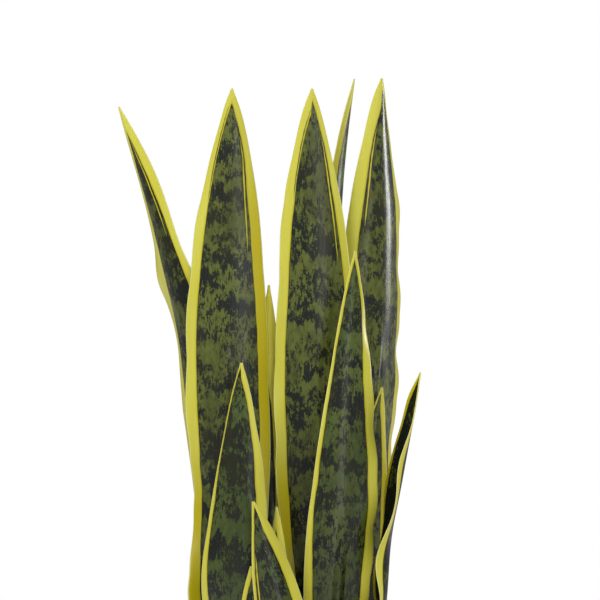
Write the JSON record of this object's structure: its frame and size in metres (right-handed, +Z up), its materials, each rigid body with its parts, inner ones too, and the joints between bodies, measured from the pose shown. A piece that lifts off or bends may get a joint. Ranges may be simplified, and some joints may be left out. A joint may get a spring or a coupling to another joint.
{
  "type": "potted snake plant",
  "caption": "Upright clump of stiff sword-shaped leaves, banded dark on green with yellow margins, standing in soil in a plain round clay pot.",
  "frame": {"origin": "centre of the pot's underside, where the pot rests", "axes": "+Z up along the pot's axis; the plant's front, as the picture shows it, faces -Y, and +X is to the right of that view"},
  "size_m": [0.2583, 0.199, 0.7301],
  "materials": {
    "leaf": "waxy, half gloss, green with dark cross bands and yellow margins",
    "soil": "matt, crumbly",
    "clay": "unglazed, matt"
  },
  "bodies": {
    "root": {"leaf_tall_left": "leaf", "leaf_tall_middle": "leaf", "leaf_tall_right": "leaf", "leaf_leaning_left": "leaf", "leaf_slim_back": "leaf", "leaf_front_right": "leaf", "leaf_front_left": "leaf", "leaf_small_front": "leaf", "leaf_wavy_right": "leaf", "leaf_short_right": "leaf", "leaf_narrow_back": "leaf", "leaf_young_middle": "leaf", "leaf_young_left": "leaf", "soil": "soil", "pot": "clay"}
  },
  "joints": []
}
